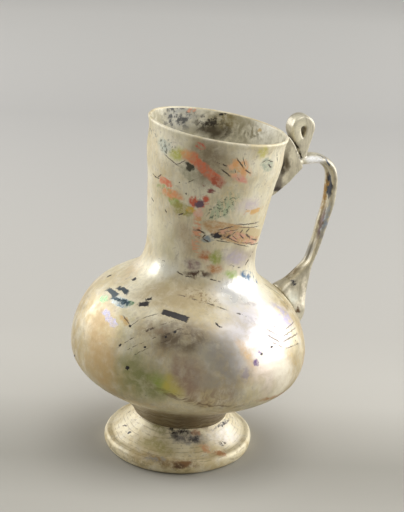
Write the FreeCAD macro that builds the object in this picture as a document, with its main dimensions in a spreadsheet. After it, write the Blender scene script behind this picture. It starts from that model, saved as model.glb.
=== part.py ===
import FreeCAD, Part
import math
import os
import Sketcher
from FreeCAD import Placement, Rotation, Vector

# A small blown-glass jug: a squat bubble with a tall open neck that leans towards its handle,
# a flared foot laid on under it, and one trail of glass for the handle. The trail fans out on
# the shoulder, bows up, turns in to the neck, is folded into a thumb loop and pressed down the neck.
# Millimetres, +Z up, handle along +X. The jug's middle, handle included, stands over the origin.

SIDEWAYS = Vector(0, 1, 0)

# Rings of the bubble from the foot up: name, height, shift towards the handle, radius, lean in degrees
RINGS = (
    ("join", 12.0, 0.6, 17.4, 4.0),
    ("stem", 16.0, 0.3, 18.9, 4.0),
    ("heel", 21.0, 0.2, 23.9, 4.2),
    ("flank", 27.0, 0.6, 33.8, 4.5),
    ("hip", 34.0, 1.8, 42.0, 4.9),
    ("belly", 42.0, 2.9, 43.6, 5.2),
    ("breast", 50.8, 3.8, 41.5, 5.6),
    ("shoulder", 58.8, 4.6, 36.5, 6.0),
    ("collar", 65.2, 5.3, 27.8, 6.1),
    ("throat", 70.7, 5.9, 21.5, 6.1),
    ("neck", 76.7, 6.5, 20.1, 6.1),
    ("rim", 123.6, 11.6, 25.8, 8.7),
)
# Where the trail spreads on the shoulder: name, x and height on the finger's side, x and height on the
# outer side, width and how far its waist is drawn in
ROOT = (
    ("knee", 47.5, 64.3, 51.8, 61.6, 6.6, 0.0),
    ("spread", 44.2, 61.8, 51.0, 55.8, 7.6, 0.08),
    ("fan", 41.1, 59.8, 50.6, 50.2, 10.0, 0.2),
    ("press", 37.8, 58.0, 49.8, 45.2, 13.6, 0.25),
    ("seat", 34.8, 55.0, 45.0, 40.9, 15.6, 0.2),
)
# Between neck and rim the pipe flares evenly, faster towards the rim
PIPE_RINGS = 5
PIPE_FLARE = 1.25

SIZES = {
    "wall": 1.6,
    "base_wall": 2.4,
    "lip_round": 0.6,
    "foot_ring_inner": 24.4,
    "foot_ring_outer": 26.0,
    "foot_radius": 27.8,
    "foot_edge_height": 5.2,
    "foot_top_radius": 17.2,
    "foot_top_height": 13.0,
    "foot_boss_height": 15.0,
    "foot_hollow": 6.0,
    "pontil_radius": 6.0,
    "pontil_bead": 0.8,
    "strap_width": 8.0,
    "strap_thickness": 3.0,
    "strap_end_width": 6.2,
    "strap_end_thickness": 2.4,
    "strap_start": 41.5,
    "strap_height": 107.7,
    "bend_start": 50.2,
    "bend_radius": 8.8,
    "bow_radius": 52.0,
    "bow_turn": 16.5,
    "fold_x": 43.6,
    "slit": 0.7,
    "loop_width": 6.4,
    "loop_x": 44.7,
    "loop_rise": 12.2,
    "loop_radius": 4.9,
    "loop_round": 1.0,
    "loop_leg": 2.7,
    "eye_radius": 1.1,
    "eye_aside": 0.3,
    "eye_length": 4.6,
    "web_width": 8.4,
    "web_rise": 10.9,
    "web_drop": 12.7,
    "web_bite": 2.0,
    "web_crest_x": 38.2,
    "web_crest_drop": 0.7,
    "web_bulge_x": 40.9,
    "web_bulge_drop": 4.6,
    "web_heel_reach": 1.0,
    "web_heel_drop": 0.4,
    "web_toe": 1.5,
    "web_belly": 0.9,
}

for name, inner_x, inner_height, outer_x, outer_height, width, waist in ROOT:
    SIZES[name + "_inner_x"] = inner_x
    SIZES[name + "_inner_height"] = inner_height
    SIZES[name + "_outer_x"] = outer_x
    SIZES[name + "_outer_height"] = outer_height
    SIZES[name + "_width"] = width
    SIZES[name + "_waist"] = waist

doc = FreeCAD.newDocument("jug")
sheet = doc.addObject("Spreadsheet::Sheet", "sizes")
for name, height, shift, radius, lean in RINGS:
    SIZES[name + "_height"] = height
    SIZES[name + "_shift"] = shift
    SIZES[name + "_radius"] = radius
    SIZES[name + "_lean"] = lean
for row, (alias, value) in enumerate(SIZES.items(), start=1):
    sheet.set("A%d" % row, alias)
    sheet.set("B%d" % row, str(value))
    sheet.setAlias("B%d" % row, alias)
doc.recompute()


def size(alias):
    return float(sheet.get(alias))


def new_body(name):
    body = doc.addObject("PartDesign::Body", name)
    body.Label = name
    return body


def new_sketch(body, name, plane, offset=Placement()):
    sketch = body.newObject("Sketcher::SketchObject", name)
    origin_plane = [f for f in body.Origin.OriginFeatures if f.Role == plane][0]
    sketch.AttachmentSupport = [(origin_plane, "")]
    sketch.MapMode = "FlatFace"
    sketch.AttachmentOffset = offset
    return sketch


def oval(long, wide, waist):
    """A rounded oval through eight points, its middle drawn in by the waist's share."""
    points = []
    for step in range(8):
        angle = step * math.pi / 4
        along = abs(math.cos(angle)) ** 0.8 * long / 2
        across = abs(math.sin(angle)) ** 0.8 * (1 - waist * math.sin(angle) ** 4) * wide / 2
        points.append(Vector(math.copysign(along, math.cos(angle)), math.copysign(across, math.sin(angle)), 0))
    curve = Part.BSplineCurve()
    curve.interpolate(Points=points, PeriodicFlag=True)
    return curve


# Vessel: one smooth skin through the rings, hollowed by a second one a wall's thickness inside
vessel = new_body("vessel")


def between(alias, share):
    """A size on the way from the neck to the rim."""
    low = "sizes.neck_" + alias
    high = "sizes.rim_" + alias
    return "%s + (%s - %s) * %.4f" % (low, high, low, share)


def ring_formulas():
    """Each ring of the outer skin as its name and the formulas of its height, shift, radius and lean."""
    formulas = []
    for name, height, shift, radius, lean in RINGS:
        if name == "rim":
            for step in range(1, PIPE_RINGS):
                share = step / PIPE_RINGS
                formulas.append(("pipe_%d" % step, between("height", share), between("shift", share),
                                 between("radius", share ** PIPE_FLARE), between("lean", share ** 3)))
        formulas.append((name,) + tuple("sizes.%s_%s" % (name, what) for what in ("height", "shift", "radius", "lean")))
    return formulas


def ring_sketch(name, height, shift, lean, radius):
    """A circle on a plane of its own, each size a number or a formula on the sheet."""
    sketch = new_sketch(vessel, name, "XY_Plane", Placement(Vector(), Rotation(SIDEWAYS, 1)))
    sketch.addGeometry(Part.Circle(Vector(0, 0, 0), Vector(0, 0, 1), 10))
    sketch.addConstraint(Sketcher.Constraint("Coincident", 0, 3, -1, 1))
    index = sketch.addConstraint(Sketcher.Constraint("Radius", 0, 10))
    sketch.setExpression("Constraints[%d]" % index, str(radius))
    sketch.setExpression("AttachmentOffset.Base.x", str(shift))
    sketch.setExpression("AttachmentOffset.Base.z", str(height))
    sketch.setExpression("AttachmentOffset.Rotation.Angle", str(lean))
    return sketch


outer_rings = []
for name, height, shift, radius, lean in ring_formulas():
    outer_rings.append(ring_sketch(name + "_ring", height, shift, lean, radius))
bubble = vessel.newObject("PartDesign::AdditiveLoft", "bubble")
bubble.Profile = outer_rings[0]
bubble.Sections = outer_rings[1:]
bubble.Ruled = False
doc.recompute()


def inner_ring(number):
    """The ring a wall's thickness inside an outer one, measured square to the glass."""
    here = outer_rings[number]
    below = outer_rings[max(number - 1, 0)]
    above = outer_rings[min(number + 1, len(outer_rings) - 1)]
    rise = above.AttachmentOffset.Base.z - below.AttachmentOffset.Base.z
    widening = above.Geometry[0].Radius - below.Geometry[0].Radius
    steepness = math.hypot(rise, widening)
    lean = math.degrees(here.AttachmentOffset.Rotation.Angle)
    along = size("wall") * widening / steepness
    inward = size("wall") * rise / steepness
    centre = here.AttachmentOffset.multVec(Vector(0, 0, along))
    return centre, lean, here.Geometry[0].Radius - inward


inner_rings = []
for number in range(len(outer_rings)):
    centre, lean, radius = inner_ring(number)
    if number == 0:
        centre = outer_rings[0].AttachmentOffset.multVec(Vector(0, 0, size("base_wall")))
    inner_rings.append(ring_sketch("inside_%d" % number, centre.z, centre.x, lean, radius))
overrun = Placement(centre, Rotation(SIDEWAYS, lean)).multVec(Vector(0, 0, 2 * size("wall")))
inner_rings.append(ring_sketch("above_mouth", overrun.z, overrun.x, lean, radius + size("wall") / 4))
hollow = vessel.newObject("PartDesign::SubtractiveLoft", "hollow")
hollow.Profile = inner_rings[0]
hollow.Sections = inner_rings[1:]
hollow.Ruled = False
doc.recompute()
rim_floor = size("rim_height") - size("rim_radius") * math.sin(math.radians(size("rim_lean"))) - size("wall")
lip_edges = []
for number, edge in enumerate(hollow.Shape.Edges, start=1):
    if edge.CenterOfMass.z > rim_floor and edge.Length > 4 * size("rim_radius"):
        lip_edges.append("Edge%d" % number)
lip = vessel.newObject("PartDesign::Fillet", "lip")
lip.Base = (hollow, lip_edges)
lip.setExpression("Radius", "sizes.lip_round")
vessel.Tip = lip
doc.recompute()

# The bubble while it is still solid: what is laid on hot takes its shape
solid_bubble = doc.addObject("Part::Feature", "solid_bubble")
solid_bubble.Shape = bubble.Shape.copy()

# Foot: a flared pad with a rolled edge, a hollow underside and the scar of the pontil
foot_body = new_body("foot_blank")
outline = new_sketch(foot_body, "foot_outline", "XZ_Plane")
crown = Vector(0, size("foot_hollow"), 0)
ring_in = Vector(size("foot_ring_inner"), 0, 0)
ring_out = Vector(size("foot_ring_outer"), 0, 0)
edge_out = Vector(size("foot_radius"), size("foot_edge_height") / 2, 0)
edge_top = Vector(size("foot_radius") - 0.9, size("foot_edge_height"), 0)
top_in = Vector(size("foot_top_radius"), size("foot_top_height"), 0)
boss_out = Vector(size("foot_top_radius") - 0.6, size("foot_boss_height"), 0)
boss_in = Vector(0, size("foot_boss_height"), 0)
hollow_radius = (size("foot_ring_inner") ** 2 + size("foot_hollow") ** 2) / (2 * size("foot_hollow"))
hollow_half = math.asin(size("foot_ring_inner") / hollow_radius) / 2
hollow_middle = Vector(hollow_radius * math.sin(hollow_half),
                       size("foot_hollow") - hollow_radius * (1 - math.cos(hollow_half)), 0)
sweep_middle = (edge_top + top_in) * 0.5 - Vector(0.35, 0.45, 0)
outline.addGeometry([
    Part.Arc(crown, hollow_middle, ring_in),
    Part.LineSegment(ring_in, ring_out),
    Part.Arc(ring_out, edge_out, edge_top),
    Part.Arc(edge_top, sweep_middle, top_in),
    Part.LineSegment(top_in, boss_out),
    Part.LineSegment(boss_out, boss_in),
    Part.LineSegment(boss_in, crown),
], False)
foot_turn = foot_body.newObject("PartDesign::Revolution", "foot_turn")
foot_turn.Profile = outline
foot_turn.ReferenceAxis = (outline, ["V_Axis"])
foot_turn.Angle = 360
pontil = foot_body.newObject("PartDesign::AdditiveTorus", "pontil")
pontil.setExpression("Radius1", "sizes.pontil_radius")
pontil.setExpression("Radius2", "sizes.pontil_bead")
pontil.setExpression("AttachmentOffset.Base.z", "sizes.foot_hollow")
pontil.Placement = Placement(Vector(0, 0, size("foot_hollow") - 0.3), Rotation())
doc.recompute()
foot = doc.addObject("Part::Cut", "foot")
foot.Label = "foot"
foot.Base = foot_body
foot.Tool = solid_bubble
doc.recompute()

# Handle trail: flat ovals along a level run, a tight bend, a long bow that gets slimmer, and a run down
# to the shoulder, where they spread into a fan with hollow sides that is pressed on the glass
trail = new_body("trail")
BEND_STEPS = 3
BOW_STEPS = 4
RUN_STEPS = 5


def down_way(heading):
    """The way along the trail, from a heading in degrees that turns down from level."""
    return Vector(math.cos(math.radians(heading)), 0, -math.sin(math.radians(heading)))


def bow_stations():
    """Middle and heading at each station of the level run, the bend and the bow."""
    moves = (
        (size("bend_start") - size("strap_start"), 0, 2),
        (math.radians(90) * size("bend_radius"), 90, BEND_STEPS),
        (math.radians(size("bow_turn")) * size("bow_radius"), size("bow_turn"), BOW_STEPS),
    )
    middle = Vector(size("strap_start"), 0, size("strap_height"))
    heading = 0.0
    stations = [(middle, heading)]
    for length, turn, steps in moves:
        for step in range(steps):
            middle = middle + down_way(heading + turn / steps / 2) * (length / steps)
            heading += turn / steps
            stations.append((middle, heading))
    return stations


def root_station(name):
    """Middle, heading and length of an oval of the fan."""
    inner = Vector(size(name + "_inner_x"), 0, size(name + "_inner_height"))
    outer = Vector(size(name + "_outer_x"), 0, size(name + "_outer_height"))
    across = inner - outer
    return (inner + outer) * 0.5, math.degrees(math.atan2(-across.x, -across.z)), across.Length


def run_stations(start, start_heading, end, end_heading):
    """Stations on a smooth curve between two ovals, without the first and the last."""
    stations = []
    reach = (end - start).Length
    for step in range(1, RUN_STEPS):
        t = step / RUN_STEPS
        middle = (start * (1 - 3 * t ** 2 + 2 * t ** 3) + end * (3 * t ** 2 - 2 * t ** 3)
                  + down_way(start_heading) * (reach * (t - 2 * t ** 2 + t ** 3))
                  + down_way(end_heading) * (reach * (t ** 3 - t ** 2)))
        stations.append((middle, start_heading + (end_heading - start_heading) * t ** 2))
    return stations


def slimmer(alias, share):
    """The strap's size on the way from the bend to the knee."""
    return size("strap_" + alias) + (size("strap_end_" + alias) - size("strap_" + alias)) * share


trail_sections = [(middle, heading, size("strap_thickness"), size("strap_width"), 0.0)
                  for middle, heading in bow_stations()]
knee_middle, knee_heading, knee_length = root_station(ROOT[0][0])
bow_end, bow_heading = trail_sections[-1][:2]
slim_steps = BOW_STEPS + RUN_STEPS - 1
for step in range(1, BOW_STEPS + 1):
    number = step - BOW_STEPS - 1
    middle, heading = trail_sections[number][:2]
    share = step / slim_steps
    trail_sections[number] = (middle, heading, slimmer("thickness", share), slimmer("width", share), 0.0)
for step, (middle, heading) in enumerate(run_stations(bow_end, bow_heading, knee_middle, knee_heading), start=1):
    share = (BOW_STEPS + step) / slim_steps
    trail_sections.append((middle, heading, slimmer("thickness", share), slimmer("width", share), 0.0))
for name, inner_x, inner_height, outer_x, outer_height, width, waist in ROOT:
    middle, heading, length = root_station(name)
    trail_sections.append((middle, heading, length, size(name + "_width"), size(name + "_waist")))

trail_ovals = []
for number, (middle, heading, thickness, width, waist) in enumerate(trail_sections):
    sketch = new_sketch(trail, "trail_oval_%d" % number, "XY_Plane",
                        Placement(middle, Rotation(SIDEWAYS, 90 + heading)))
    sketch.addGeometry(oval(thickness, width, waist), False)
    trail_ovals.append(sketch)
strap = trail.newObject("PartDesign::AdditiveLoft", "strap")
strap.Profile = trail_ovals[0]
strap.Sections = trail_ovals[1:]
strap.Ruled = False
doc.recompute()


def soften_sides(body, pad, half_width, alias, curves):
    """Rounds the outer edges of a pad's two flat sides that run along the given kinds of curve."""
    names = []
    for number, edge in enumerate(pad.Shape.Edges, start=1):
        box = edge.BoundBox
        on_side = abs(abs(box.YMin) - half_width) < 0.001 and box.YLength < 0.001
        if on_side and isinstance(edge.Curve, curves) and is_outer(pad.Shape, edge):
            names.append("Edge%d" % number)
    rounding = body.newObject("PartDesign::Fillet", pad.Name + "_rounding")
    rounding.Base = (pad, names)
    rounding.setExpression("Radius", "sizes." + alias)
    body.Tip = rounding
    doc.recompute()


def is_outer(shape, edge):
    """True where the edge is on the outer boundary of its flat side."""
    for face in shape.Faces:
        box = face.BoundBox
        if box.YLength < 0.001 and abs(box.YMin - edge.BoundBox.YMin) < 0.001:
            return any(edge.isSame(other) for other in face.OuterWire.Edges)
    return False


# Web: the end of the trail, pressed down the neck below the rim
web_body = new_body("web_blank")
web_sketch = new_sketch(web_body, "web_outline", "XZ_Plane")
strap_floor = size("strap_height") - size("strap_thickness") / 2
web_top_height = size("strap_height") + size("web_rise")
web_foot_height = size("strap_height") - size("web_drop")
neck_share = (web_foot_height - size("neck_height")) / (size("rim_height") - size("neck_height"))
neck_side = (size("neck_shift") + (size("rim_shift") - size("neck_shift")) * neck_share + size("neck_radius")
             + (size("rim_radius") - size("neck_radius")) * max(neck_share, 0.0) ** PIPE_FLARE)
web_top = Vector(size("rim_shift") + size("rim_radius") - size("web_bite"), web_top_height, 0)
web_crest = Vector(size("web_crest_x"), web_top_height - size("web_crest_drop"), 0)
web_bulge = Vector(size("web_bulge_x"), web_top_height - size("web_bulge_drop"), 0)
web_corner = Vector(size("fold_x"), size("strap_height"), 0)
web_heel = Vector(size("fold_x") + size("web_heel_reach"), strap_floor - size("web_heel_drop"), 0)
web_foot = Vector(neck_side + size("web_toe") / 2, web_foot_height, 0)
web_inside = Vector(neck_side - size("web_bite"), web_foot_height, 0)
web_slope = web_heel - web_foot
web_out = Vector(web_slope.y, -web_slope.x, 0).normalize()
web_belly = (web_heel + web_foot) * 0.5 + web_out * size("web_belly")
web_sketch.addGeometry([
    Part.LineSegment(web_top, web_crest),
    Part.Arc(web_crest, web_bulge, web_corner),
    Part.LineSegment(web_corner, web_heel),
    Part.Arc(web_heel, web_belly, web_foot),
    Part.LineSegment(web_foot, web_inside),
    Part.LineSegment(web_inside, web_top),
], False)
web = web_body.newObject("PartDesign::Pad", "web")
web.Profile = web_sketch
web.Midplane = True
web.setExpression("Length", "sizes.web_width")
doc.recompute()


def tangent_point(centre, radius, tip, side):
    """Where a line from the tip touches the circle: side is 1 on the right and -1 on the left."""
    toward = tip - centre
    swing = math.acos(radius / toward.Length)
    heading = math.atan2(toward.y, toward.x) + side * swing
    return centre + Vector(math.cos(heading), math.sin(heading), 0) * radius


# Thumb loop: the trail folded back on itself, a round head with an eye that narrows to a slit
loop_body = new_body("loop_blank")
loop_sketch = new_sketch(loop_body, "loop_outline", "XZ_Plane")
loop_centre = Vector(size("loop_x"), size("strap_height") + size("loop_rise"), 0)
left_tip = Vector(size("fold_x") + size("slit"), size("strap_height"), 0)
right_tip = Vector(size("fold_x") + size("loop_leg"), size("strap_height") + size("strap_thickness") / 2, 0)
right_base = Vector(size("fold_x") + size("loop_leg"), size("strap_height"), 0)
left_touch = tangent_point(loop_centre, size("loop_radius"), left_tip, -1)
right_touch = tangent_point(loop_centre, size("loop_radius"), right_tip, 1)
loop_top = loop_centre + Vector(0, size("loop_radius"), 0)
eye_centre = loop_centre - Vector(size("eye_aside"), 0, 0)
eye_tip = eye_centre + Vector(size("eye_aside"), -size("eye_length"), 0)
eye_left = tangent_point(eye_centre, size("eye_radius"), eye_tip, -1)
eye_right = tangent_point(eye_centre, size("eye_radius"), eye_tip, 1)
eye_top = eye_centre + Vector(0, size("eye_radius"), 0)
loop_sketch.addGeometry([
    Part.LineSegment(left_tip, left_touch),
    Part.Arc(left_touch, loop_top, right_touch),
    Part.LineSegment(right_touch, right_tip),
    Part.LineSegment(right_tip, right_base),
    Part.LineSegment(right_base, left_tip),
    Part.LineSegment(eye_tip, eye_left),
    Part.Arc(eye_left, eye_top, eye_right),
    Part.LineSegment(eye_right, eye_tip),
], False)
loop = loop_body.newObject("PartDesign::Pad", "loop")
loop.Profile = loop_sketch
loop.Midplane = True
loop.setExpression("Length", "sizes.loop_width")
doc.recompute()
soften_sides(loop_body, loop, size("loop_width") / 2, "loop_round", (Part.Circle, Part.Line))

handle_blank = doc.addObject("Part::MultiFuse", "handle_blank")
handle_blank.Shapes = [trail, web_body, loop_body]
doc.recompute()
handle = doc.addObject("Part::Cut", "handle")
handle.Label = "handle"
handle.Base = handle_blank
handle.Tool = solid_bubble
doc.recompute()

# Stand the whole jug with its middle over the origin
PIECES = (vessel, foot, handle)
boxes = [piece.Shape.optimalBoundingBox() for piece in PIECES]
middle_shift = Vector(-(min(box.XMin for box in boxes) + max(box.XMax for box in boxes)) / 2, 0, 0)
for piece in PIECES:
    piece.Placement = Placement(middle_shift, Rotation())

for item in doc.Objects:
    if "Invalid" in item.State or "Error" in item.State:
        raise RuntimeError("%s failed: %s" % (item.Name, item.State))
os.makedirs("parts", exist_ok=True)
for piece in PIECES:
    shape = piece.Shape
    if shape.isNull() or not shape.isValid():
        raise RuntimeError("%s has no valid shape" % piece.Label)
    shape.exportStep("parts/%s.step" % piece.Label)
    box = shape.optimalBoundingBox()
    print(piece.Label, "solids", len(shape.Solids), "volume", round(shape.Volume, 1),
          "x", round(box.XMin, 2), round(box.XMax, 2), "y", round(box.YMin, 2), round(box.YMax, 2),
          "z", round(box.ZMin, 2), round(box.ZMax, 2))
print("middle shift", round(middle_shift.x, 3))
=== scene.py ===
import math
import bpy
from mathutils import Matrix, Vector, noise
from mathutils.bvhtree import BVHTree


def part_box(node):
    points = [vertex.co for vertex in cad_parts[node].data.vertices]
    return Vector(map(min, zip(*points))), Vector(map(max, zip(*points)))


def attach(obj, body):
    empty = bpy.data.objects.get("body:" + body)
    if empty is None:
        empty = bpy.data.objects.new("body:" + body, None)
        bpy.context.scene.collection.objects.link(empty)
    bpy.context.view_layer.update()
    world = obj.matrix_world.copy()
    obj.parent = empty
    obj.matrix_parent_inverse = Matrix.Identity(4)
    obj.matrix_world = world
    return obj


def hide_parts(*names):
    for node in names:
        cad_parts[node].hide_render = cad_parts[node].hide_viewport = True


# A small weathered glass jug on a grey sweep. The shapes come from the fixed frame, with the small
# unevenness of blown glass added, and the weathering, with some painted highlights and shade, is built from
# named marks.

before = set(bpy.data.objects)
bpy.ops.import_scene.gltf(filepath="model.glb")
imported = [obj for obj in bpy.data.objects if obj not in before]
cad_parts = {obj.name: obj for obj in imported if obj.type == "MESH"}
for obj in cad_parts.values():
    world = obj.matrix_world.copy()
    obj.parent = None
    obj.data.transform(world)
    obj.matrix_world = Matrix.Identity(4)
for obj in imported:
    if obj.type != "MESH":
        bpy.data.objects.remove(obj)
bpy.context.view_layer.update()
MM = 0.001

# The camera, in metres, as the photograph was taken
CAMERA_PLACE = Vector((-0.2209, -0.4678, 0.2733))
CAMERA_RIGHT = Vector((0.9116, -0.4093, 0.0371)).normalized()
CAMERA_FORWARD = Vector((0.3943, 0.8455, -0.36)).normalized()
CAMERA_UP = CAMERA_RIGHT.cross(CAMERA_FORWARD)
LENS = 106.5
SENSOR = 36.0
PHOTO_WIDE = 404
PHOTO_HIGH = 512
FOCAL_PIXELS = LENS / SENSOR * PHOTO_HIGH


def look_through(px, py):
    """The direction from the camera through a pixel of the photograph."""
    return (CAMERA_FORWARD * FOCAL_PIXELS + CAMERA_RIGHT * (px - PHOTO_WIDE / 2)
            - CAMERA_UP * (py - PHOTO_HIGH / 2)).normalized()


def tree_of(name):
    """The surface of a fixed node, for casting rays on it."""
    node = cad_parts[name]
    corners = [node.matrix_world @ vertex.co for vertex in node.data.vertices]
    return BVHTree.FromPolygons(corners, [tuple(face.vertices) for face in node.data.polygons])


TREES = {name: tree_of(name) for name in ("vessel", "foot", "handle")}


def blend(table, x):
    """Reads a value at x from pairs in rising order, straight between them."""
    for (x0, y0), (x1, y1) in zip(table, table[1:]):
        if x <= x1:
            return y0 + (y1 - y0) * max(0.0, (x - x0) / (x1 - x0))
    return table[-1][1]


def grid_piece(name, rows, cap_first, cap_last):
    """A closed tube of rings of points, each end drawn to a point."""
    columns = len(rows[0])
    points = [point for row in rows for point in row]
    faces = []
    for r in range(len(rows) - 1):
        for c in range(columns):
            after = (c + 1) % columns
            here = r * columns
            beyond = here + columns
            faces.append((here + c, here + after, beyond + after, beyond + c))
    for centre, first, order in ((cap_first, 0, -1), (cap_last, (len(rows) - 1) * columns, 1)):
        hub = len(points)
        points.append(centre)
        for c in range(columns):
            rim = (first + c, first + (c + 1) % columns)[::order]
            faces.append((rim[1], hub, rim[0]))
    mesh = bpy.data.meshes.new(name)
    mesh.from_pydata([tuple(point) for point in points], [], faces)
    mesh.validate()
    mesh.polygons.foreach_set("use_smooth", [True] * len(mesh.polygons))
    piece = bpy.data.objects.new(name, mesh)
    bpy.context.scene.collection.objects.link(piece)
    return piece


def swell(point, scale, height):
    """Smooth unevenness: up to height, over lumps of the given size, both in millimetres."""
    return noise.noise(point / (scale * MM)) * height * MM


# Vessel: rings cast on the fixed node from a centre line, out along the skin, over the lip and down inside
COLUMNS = 320
OUTER_ROWS = 150
INNER_ROWS = 78
LIP_ROWS = 7
BASE_HEIGHT = 13.2 * MM
MOUTH_HEIGHT = 123.55 * MM
INNER_FLOOR = 16.2 * MM
WALL = 1.6 * MM
LEANS = ((12 * MM, 4.0), (76.7 * MM, 6.1), (MOUTH_HEIGHT, 8.7))
FAR = 0.2
SPINE_LOW = 14 * MM
SPINE_HIGH = 116 * MM
SPINE_STEPS = 60
SKIN_STEPS = 400

# Unevenness of the blown wall, each a lump size and a height in millimetres
WALL_SWELLS = ((26, 0.35), (9, 0.12))
WALL_RADIUS = 30 * MM
RINGS_PER_MM = 2.1
RING_WANDER = (12, 2000)
RING_HEIGHT = 0.02 * MM


def centre_at(height):
    """The middle of the vessel's section at a height."""
    left = TREES["vessel"].ray_cast(Vector((-FAR, 0, height)), Vector((1, 0, 0)))[0]
    right = TREES["vessel"].ray_cast(Vector((FAR, 0, height)), Vector((-1, 0, 0)))[0]
    return Vector(((left.x + right.x) / 2, 0, height))


SPINE = []
for step in range(SPINE_STEPS + 1):
    spine_height = SPINE_LOW + (SPINE_HIGH - SPINE_LOW) * step / SPINE_STEPS
    SPINE.append((spine_height, centre_at(spine_height).x))


def spine_point(height):
    """On the centre line, carried straight on above the last measured section."""
    if height > SPINE[-1][0]:
        slope = (SPINE[-1][1] - SPINE[-6][1]) / (SPINE[-1][0] - SPINE[-6][0])
        return Vector((SPINE[-1][1] + slope * (height - SPINE[-1][0]), 0, height))
    return Vector((blend(SPINE, height), 0, height))


def ring_way(height, turn):
    """The direction out from the centre line, in the leaning plane of the ring."""
    lean = math.radians(blend(LEANS, height))
    return Vector((math.cos(turn) * math.cos(lean), math.sin(turn), -math.cos(turn) * math.sin(lean)))


def skin_point(height, turn, inside):
    """Where a ring meets the vessel's outer or inner skin."""
    centre = spine_point(height)
    way = ring_way(height, turn)
    if inside:
        return TREES["vessel"].ray_cast(centre, way)[0]
    return TREES["vessel"].ray_cast(centre + way * FAR, -way)[0]


def even_heights(low, high, count, inside):
    """Heights from low to high that are evenly spaced along the skin."""
    heights = [low + (high - low) * i / SKIN_STEPS for i in range(SKIN_STEPS + 1)]
    places = [skin_point(height, math.pi / 2, inside) for height in heights]
    lengths = [(0.0, heights[0])]
    for i in range(1, len(places)):
        lengths.append((lengths[-1][0] + (places[i] - places[i - 1]).length, heights[i]))
    return [blend(lengths, lengths[-1][0] * i / (count - 1)) for i in range(count)]


def uneven(turn, height):
    """How far the glass stands off the true form, the same on both sides of the wall."""
    place = Vector((math.cos(turn) * WALL_RADIUS, math.sin(turn) * WALL_RADIUS, height))
    rings = math.sin(height / MM * RINGS_PER_MM + swell(place, *RING_WANDER)) * RING_HEIGHT
    return sum(swell(place, *size) for size in WALL_SWELLS) + rings


def vessel_ring(height, inside):
    ring = []
    for column in range(COLUMNS):
        turn = 2 * math.pi * column / COLUMNS
        point = skin_point(height, turn, inside)
        ring.append(point + ring_way(height, turn) * uneven(turn, height))
    return ring


lip_height = MOUTH_HEIGHT - WALL / 2
outer_heights = even_heights(BASE_HEIGHT, lip_height, OUTER_ROWS, False)
inner_heights = even_heights(INNER_FLOOR, lip_height, INNER_ROWS, True)
vessel_rows = [vessel_ring(height, False) for height in outer_heights]
inner_rows = [vessel_ring(height, True) for height in inner_heights]
lip_lean = math.radians(LEANS[-1][1])
lip_up = Vector((math.sin(lip_lean), 0, math.cos(lip_lean)))
for step in range(1, LIP_ROWS):
    swing = math.pi * step / LIP_ROWS
    share = (1 - math.cos(swing)) / 2
    row = []
    for outer, inner in zip(vessel_rows[OUTER_ROWS - 1], inner_rows[-1]):
        row.append(outer.lerp(inner, share) + lip_up * math.sin(swing) * WALL / 2)
    vessel_rows.append(row)
vessel_rows.extend(reversed(inner_rows))
vessel = grid_piece("vessel_skin", vessel_rows, spine_point(BASE_HEIGHT), spine_point(INNER_FLOOR))
outside_faces = COLUMNS * (OUTER_ROWS + LIP_ROWS - 2)

# Foot: a turned profile with an uneven rolled edge
FOOT_COLUMNS = 288
FOOT_ROWS = 90
FOOT_AXIS = Vector((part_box("foot")[0][0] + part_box("foot")[1][0], 0, 0)) / 2
FOOT_PROFILE = (
    (16.2, 14.2), (17.2, 13.3), (18.6, 11.6), (20.6, 9.3), (22.8, 7.2), (24.6, 5.75), (25.6, 5.45),
    (26.8, 5.2), (27.6, 4.2), (27.8, 2.9), (27.4, 1.3), (26.6, 0.3), (25.6, 0.0), (24.6, 0.15),
    (22.0, 1.5), (15.0, 4.2), (8.2, 5.7), (6.6, 4.9), (5.2, 5.7), (2.0, 6.0),
)
FOOT_TOP = 13.6 * MM
KNOT_STEPS = 20

# Unevenness of the foot, in millimetres: from this radius on, growing over this width
LOOSE_FROM = 17.5
LOOSE_WIDTH = 6
LIFT_WIDTH = 4
FOOT_BROAD = (18, 0.45)
FOOT_FINE = (6, 0.14)
FOOT_LIFT = (14, 0.3)
LIFT_ELSEWHERE = Vector((0.5, 0, 0))


def smooth_path(knots, count):
    """Evenly spaced points on a smooth curve through the knots."""
    fine = []
    for i in range(len(knots) - 1):
        before = knots[max(i - 1, 0)]
        start = knots[i]
        end = knots[i + 1]
        after = knots[min(i + 2, len(knots) - 1)]
        for step in range(KNOT_STEPS):
            t = step / KNOT_STEPS
            fine.append(((start * 2 + (end - before) * t + (before * 2 - start * 5 + end * 4 - after) * t ** 2
                          + (start * 3 - before - end * 3 + after) * t ** 3) / 2))
    fine.append(knots[-1])
    lengths = [0.0]
    for i in range(1, len(fine)):
        lengths.append(lengths[-1] + (fine[i] - fine[i - 1]).length)
    path = []
    for i in range(count):
        goal = lengths[-1] * i / (count - 1)
        j = max(1, next(k for k, length in enumerate(lengths) if length >= goal - 1e-12))
        share = (goal - lengths[j - 1]) / (lengths[j] - lengths[j - 1])
        path.append(fine[j - 1].lerp(fine[j], share))
    return path


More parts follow.
